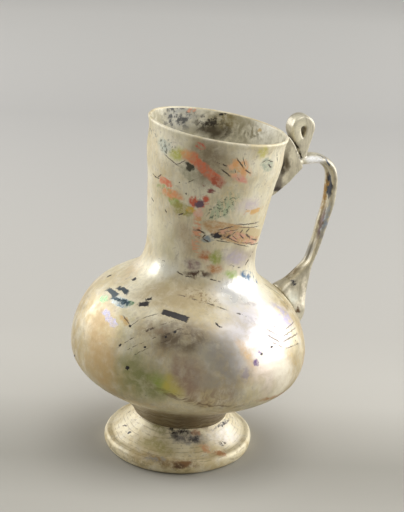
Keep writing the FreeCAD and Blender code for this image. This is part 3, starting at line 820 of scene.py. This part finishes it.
# Vessel, inside: silver grey at the left of the mouth, painted shade in the middle, olive and then painted
# light in cream to the right
inside = Glass("inner_skin", "vessel")
t = inside.tree
inside.breaks["mottle"] = inside.speckle(380.0, low=0.45, high=0.58, detail=5.0)
inside.breaks["upright"] = inside.streak((1.0, 1.0, 0.15), 700.0, low=0.4, high=0.62)
inside.colour = mix_node(t, inside.speckle(140.0, low=0.4, high=0.62, detail=5.0), srgb(186, 178, 150),
                         srgb(236, 230, 208))
inside.rough = 0.55
inside.metal = 0.0
INSIDE_MARKS = (
    ("silver grey", (156, 116), (206, 112), 22.0, (186, 184, 174), None, HAZY),
    ("slate in it", (156, 116), (198, 114), 17.0, (88, 88, 86), "mottle", SOFT),
    ("olive", (210, 112), (242, 130), 17.0, (150, 136, 92), None, HAZY),
    # Painted light on the lit right side within the mouth
    ("painted light inside on the right", (240, 116), (290, 142), 22.0, (255, 252, 238), None, MISTY),
    # Painted shade in three layers, deep inside the mouth
    ("painted shade deep in the mouth", (186, 126), (242, 134), 9.0, (58, 50, 38), "mottle", HAZY),
    ("painted shade under it", (188, 128), (238, 134), 8.0, (84, 74, 54), None, {"soft": 0.9, "edge": "wavy"}),
    ("painted shade above it", (190, 120), (226, 122), 7.0, (48, 40, 32), "mottle", SOFT),
    ("rose at the lip", (184, 108), (198, 111), 2.6, (222, 164, 136), "mottle", {}),
    ("grey streaks right", (230, 124), (270, 138), 10.0, (150, 140, 108), "upright", HAZY),
    ("gold circle", (256, 130), (262, 130), 1.6, (208, 180, 120), None, {}),
)
for what, start, end, wide, colour, broken, form in INSIDE_MARKS:
    inside.mark(what, start, end, wide, colour, broken, **form)
inside.line("black stroke", ((218, 115), (224, 114), (227, 112)), 1.1, SOOT)
inside.height = inside.roughened(500.0, 0.08)
vessel.data.materials.append(inside.finish())
for face in vessel.data.polygons:
    if outside_faces <= face.index < COLUMNS * (len(vessel_rows) - 1):
        face.material_index = len(ZONE_PARTS)
    else:
        face.material_index = sum(face.center.z < height for height in zone_heights)

# Foot: cream with turned lines, stained at the stem and at the front of the rim, with painted shade at the
# rim's low edge and a painted highlight on its right
TURNED_LINES = 5200.0
TURNED_WANDER = 14.0
base = Glass("foot_skin", "foot")
t = base.tree
base.breaks["mottle"] = base.speckle(330.0, low=0.4, high=0.6)
base.breaks["speck"] = base.speckle(900.0, low=0.5, high=0.6)
base.breaks["dash"] = base.speckle(420.0, low=0.44, high=0.52)
base.colour = mix_node(t, base.speckle(90.0, low=0.38, high=0.6, detail=4.0), srgb(206, 188, 142),
                       srgb(238, 226, 190))
base.lay(math_node(t, "MULTIPLY", base.speckle(300.0, low=0.45, high=0.7, detail=5.0), 0.4), PALE)
base.lay(math_node(t, "MULTIPLY", base.speckle(600.0, low=0.56, high=0.7, detail=4.0), 0.45), DUN)
around = vector_node(t, "SUBTRACT", base.place, tuple(FOOT_AXIS))
around = vector_node(t, "MULTIPLY", around, (1.0, 1.0, 0.0))
length = t.nodes.new("ShaderNodeVectorMath")
length.operation = "LENGTH"
t.links.new(around, length.inputs[0])
turned = noise_node(t, base.place, 60.0, 3.0)
ring_phase = math_node(t, "ADD", math_node(t, "MULTIPLY", length.outputs["Value"], TURNED_LINES),
                       math_node(t, "MULTIPLY", turned, TURNED_WANDER))
rings = range_node(t, math_node(t, "SINE", ring_phase), 0.55, 0.95)
rings = math_node(t, "MULTIPLY", rings, base.breaks["dash"])
base.lay(math_node(t, "MULTIPLY", rings, 0.4), srgb(140, 122, 82), depth=0.02)
base.rough = 0.45
base.metal = base.between(base.breaks["mottle"], 0.16, 0.04)
FOOT_MARKS = (
    # Painted shade along the low edge of the foot's rim
    ("painted shade low on the rim", (116, 452), (214, 470), 5.0, (148, 122, 76), None,
     {"soft": 0.9, "edge": "wavy"}),
    ("olive on the left", (126, 440), (184, 450), 9.0, (176, 164, 104), None,
     {"soft": 0.9, "edge": "wavy"}),
    ("olive at the stem", (150, 420), (168, 436), 6.0, (158, 148, 96), None, HAZY),
    # Partly the foot's pearly tone, partly a painted highlight on its right
    ("pearl with a painted highlight on the right", (202, 440), (248, 430), 13.0, (248, 240, 228), None,
     {"soft": 0.8, "edge": "wavy"}),
    ("blue grey pits", (164, 436), (214, 440), 7.6, (128, 122, 118), None, HAZY),
    ("dark pits", (164, 434), (212, 440), 6.0, (74, 68, 64), "mottle", SOFT),
    ("brown under the stem", (164, 428), (216, 430), 5.0, (120, 84, 54), "mottle", SOFT),
    ("black crease", (164, 430), (192, 433), 2.6, (46, 38, 32), "mottle", {"depth": 0.1}),
    ("black crease on the right", (214, 428), (236, 416), 1.6, (56, 46, 38), "mottle", {"depth": 0.1}),
    ("orange at the crease", (188, 432), (202, 434), 3.0, (170, 116, 76), None, SOFT),
    ("orange brown", (196, 447), (216, 450), 5.0, (206, 156, 110), "mottle", SOFT),
    ("orange brown right", (211, 451), (231, 453), 4.6, (184, 136, 92), "mottle", SOFT),
    ("pits on the right", (219, 444), (226, 441), 2.4, (74, 62, 54), "speck", {"depth": 0.1}),
    ("brown stain on the rim", (164, 464), (208, 464), 4.6, (134, 98, 58), "mottle", HAZY),
    ("dark brown of it", (170, 466), (188, 466), 2.8, (98, 70, 42), "mottle", SOFT),
    ("grey flecks in front", (140, 456), (170, 460), 4.0, (150, 146, 138), "mottle", SOFT),
    ("pit in the stem", (149, 417), (155, 418), 1.4, (84, 80, 78), None, {"depth": 0.1}),
    ("fleck left", (121, 426), (127, 426), 0.9, (84, 68, 50), None, {}),
    ("dark fleck left", (127, 434), (131, 431), 1.4, SOOT, None, {}),
    ("fleck high", (128, 413), (131, 411), 0.8, (84, 68, 50), None, {}),
)
for what, start, end, wide, colour, broken, form in FOOT_MARKS:
    base.mark(what, start, end, wide, colour, broken, **form)
base.height = math_node(t, "ADD", base.height, base.roughened(600.0, 0.05))
foot.data.materials.append(base.finish())

# Handle: cream web and loop, silver and blue black bow, beige outer edge, olive brown root, with painted
# shade where the web meets the neck, on its low part and in the gap by the loop
bow = Glass("handle_skin", "handle")
t = bow.tree
bow.breaks["mottle"] = bow.speckle(420.0, low=0.42, high=0.58)
bow.breaks["along"] = bow.streak((1.0, 1.0, 0.1), 900.0, low=0.42, high=0.6)
bow.colour = mix_node(t, bow.speckle(160.0, low=0.4, high=0.6, detail=5.0), srgb(186, 178, 156),
                      srgb(216, 208, 184))
bow.lay(math_node(t, "MULTIPLY", bow.breaks["along"], 0.35), srgb(150, 142, 118))
bow.rough = 0.32
bow.metal = 0.25
HANDLE_MARKS = (
    ("cream loop", (290, 128), (308, 128), 14.0, (240, 232, 204), None, {"soft": 0.4, "edge": "wavy"}),
    ("ring round the eye", (301, 122), (306, 138), 4.2, (132, 114, 78), None, HAZY),
    ("shadow along the neck", (287, 146), (279, 188), 3.4, (60, 50, 38), None, MISTY),
    ("cream web", (290, 144), (295, 168), 4.2, (232, 224, 198), None, {"soft": 0.6, "edge": "wavy"}),
    # Painted shade on the web where it meets the neck
    ("painted shade on the web by the neck", (285, 150), (283, 178), 3.4, (92, 80, 58), None,
     {"soft": 0.8, "edge": "wavy"}),
    # Painted shade on the web's lower part and its tip
    ("painted shade on the low web", (276, 172), (281, 194), 6.0, (124, 116, 104), None, HAZY),
    ("painted shade at the web's tip", (275, 186), (280, 192), 3.4, (72, 62, 56), None, SOFTER),
    ("silver bow", (304, 157), (327, 166), 6.6, (255, 255, 255), None, {"soft": 0.6, "metal": 0.15}),
    ("blue black of the bow", (327, 168), (332, 202), 4.6, (50, 56, 70), None, {"soft": 0.5, "rough": 0.2}),
    ("blue black edge", (328, 170), (333, 202), 2.6, (44, 50, 62), None, {"soft": 0.7, "strength": 0.8}),
    ("gold below the bow", (320, 178), (329, 208), 4.6, (166, 130, 76), "mottle", SOFT),
    ("brown run", (327, 200), (315, 248), 5.0, (100, 80, 66), None, SOFTER),
    ("violet brown in it", (325, 212), (318, 238), 2.6, (96, 76, 82), "mottle", SOFT),
    ("blue grey inner face", (322, 196), (306, 246), 2.4, (168, 178, 192), None,
     {"soft": 0.6, "metal": 0.5}),
    ("grey of the lower run", (317, 236), (301, 266), 6.0, (122, 118, 110), None, HAZY),
    ("olive brown root", (304, 262), (280, 284), 6.0, (128, 112, 80), None, SOFTER),
    ("black blue in the root", (289, 284), (298, 281), 3.4, (52, 52, 60), "mottle", HALF_SOFT),
    ("pale hollow", (287, 290), (299, 304), 6.4, (206, 206, 190), None, SOFTER),
    ("dark brown corner", (295, 316), (302, 304), 3.6, (96, 72, 46), "mottle", HALF_SOFT),
    ("beige ridge", (304, 272), (304, 312), 3.0, (252, 242, 218), None, SOFT),
)
for what, start, end, wide, colour, broken, form in HANDLE_MARKS:
    bow.mark(what, start, end, wide, colour, broken, **form)
# Painted shade in the gap between the web and the loop
bow.line("painted shade in the slit by the loop", ((287, 134), (294, 141), (299, 150), (302, 160)), 1.0,
         (48, 38, 28))
bow.line("dark line along the bow", ((316, 154), (325, 158), (331, 168)), 0.8, (70, 78, 96))
bow.height = bow.roughened(600.0, 0.03)
handle.data.materials.clear()
handle.data.materials.append(bow.finish())

# Stage: a paper sweep, with a painted shadow where it lies flat under the jug and painted light up the
# backdrop
BACK_WAY = Vector((CAMERA_FORWARD.x, CAMERA_FORWARD.y, 0)).normalized()
SIDE_WAY = Vector((CAMERA_RIGHT.x, CAMERA_RIGHT.y, 0)).normalized()
SWEEP_NEAR = -2.5
SWEEP_FLAT = 0.9
SWEEP_BEND = 0.5
SWEEP_TALL = 1.2
SWEEP_HALF = 3.0
SWEEP_STEPS = 12


def sweep_points():
    """The sweep's section as pairs of distance back and height."""
    flat = SWEEP_FLAT - SWEEP_NEAR
    pairs = [(SWEEP_NEAR + flat * i / SWEEP_STEPS, 0.0) for i in range(SWEEP_STEPS + 1)]
    for i in range(1, SWEEP_STEPS + 1):
        bend = math.pi / 2 * i / SWEEP_STEPS
        pairs.append((SWEEP_FLAT + math.sin(bend) * SWEEP_BEND, (1 - math.cos(bend)) * SWEEP_BEND))
    pairs.append((SWEEP_FLAT + SWEEP_BEND, SWEEP_TALL))
    return pairs


sweep_rows = sweep_points()
sweep_mesh = bpy.data.meshes.new("sweep")
corners = []
for back, up in sweep_rows:
    for side in (-SWEEP_HALF, SWEEP_HALF):
        corners.append(tuple(BACK_WAY * back + SIDE_WAY * side + Vector((0, 0, up))))
quads = [(2 * i, 2 * i + 1, 2 * i + 3, 2 * i + 2) for i in range(len(sweep_rows) - 1)]
sweep_mesh.from_pydata(corners, [], quads)
sweep_mesh.polygons.foreach_set("use_smooth", [True] * len(sweep_mesh.polygons))
sweep = bpy.data.objects.new("sweep", sweep_mesh)
bpy.context.scene.collection.objects.link(sweep)
paper = bpy.data.materials.new("paper")
paper.use_nodes = True
t = paper.node_tree
t.nodes.clear()
paper_place = t.nodes.new("ShaderNodeTexCoord").outputs["Object"]
depth = t.nodes.new("ShaderNodeVectorMath")
depth.operation = "DOT_PRODUCT"
t.links.new(paper_place, depth.inputs[0])
depth.inputs[1].default_value = BACK_WAY

# The paper's tones, each by how far back it lies in metres: a painted shadow under the jug, and painted light
# on the backdrop
PAPER_TONES = {
    "in front": (-0.05, (184, 181, 172)),
    "under the jug": (-0.02, (172, 169, 160)),
    "just behind it": (0.03, (194, 191, 183)),
    "flat part": (0.1, (188, 185, 178)),
    "far part": (0.44, (186, 184, 180)),
    "backdrop": (0.75, (219, 217, 212)),
}
(paper_near, near_tint), *middle_tones, (paper_far, far_tint) = PAPER_TONES.values()
ramp = t.nodes.new("ShaderNodeValToRGB")
share = t.nodes.new("ShaderNodeMapRange")
t.links.new(depth.outputs["Value"], share.inputs["Value"])
share.inputs["From Min"].default_value = paper_near
share.inputs["From Max"].default_value = paper_far
t.links.new(share.outputs["Result"], ramp.inputs[0])
stops = ramp.color_ramp.elements
for back, tint in middle_tones:
    stops.new((back - paper_near) / (paper_far - paper_near)).color = srgb(*tint)
stops[0].color = srgb(*near_tint)
stops[len(stops) - 1].color = srgb(*far_tint)
paper_shader = t.nodes.new("ShaderNodeBsdfPrincipled")
paper_shader.inputs["Roughness"].default_value = 0.9
paper_shader.inputs["Specular IOR Level"].default_value = 0.1
t.links.new(ramp.outputs[0], paper_shader.inputs["Base Color"])
t.links.new(paper_shader.outputs[0], t.nodes.new("ShaderNodeOutputMaterial").inputs["Surface"])
sweep_mesh.materials.append(paper)


def soft_light(name, azimuth, elevation, distance, wide, tall, power):
    """A softbox that faces the jug's middle."""
    turn = math.radians(azimuth)
    rise = math.radians(elevation)
    way = Vector((math.cos(turn) * math.cos(rise), math.sin(turn) * math.cos(rise), math.sin(rise)))
    lamp = bpy.data.lights.new(name, "AREA")
    lamp.shape = "RECTANGLE"
    lamp.size = wide
    lamp.size_y = tall
    lamp.energy = power
    light = bpy.data.objects.new(name, lamp)
    light.location = OBJECT_MIDDLE + way * distance
    light.rotation_euler = way.to_track_quat("Z", "Y").to_euler()
    bpy.context.scene.collection.objects.link(light)


soft_light("right_softbox", azimuth=-12, elevation=16, distance=0.75, wide=0.95, tall=0.55, power=6.5)
soft_light("left_softbox", azimuth=134, elevation=20, distance=0.75, wide=0.75, tall=0.5, power=4.7)
soft_light("top_softbox", azimuth=-70, elevation=78, distance=0.9, wide=0.7, tall=0.7, power=4.0)
world = bpy.data.worlds.new("studio")
bpy.context.scene.world = world
world.use_nodes = True
surroundings = world.node_tree.nodes["Background"]
surroundings.inputs["Color"].default_value = (0.5, 0.5, 0.5, 1.0)
surroundings.inputs["Strength"].default_value = 0.5

camera_data = bpy.data.cameras.new("camera")
camera_data.sensor_fit = "VERTICAL"
camera_data.sensor_height = SENSOR
camera_data.lens = LENS
camera_data.clip_start = 0.01
camera = bpy.data.objects.new("camera", camera_data)
axes = Matrix((CAMERA_RIGHT, CAMERA_UP, -CAMERA_FORWARD)).transposed()
camera.matrix_world = Matrix.Translation(CAMERA_PLACE) @ axes.to_4x4()
bpy.context.scene.collection.objects.link(camera)
bpy.context.scene.camera = camera
bpy.context.scene.view_settings.view_transform = "Standard"
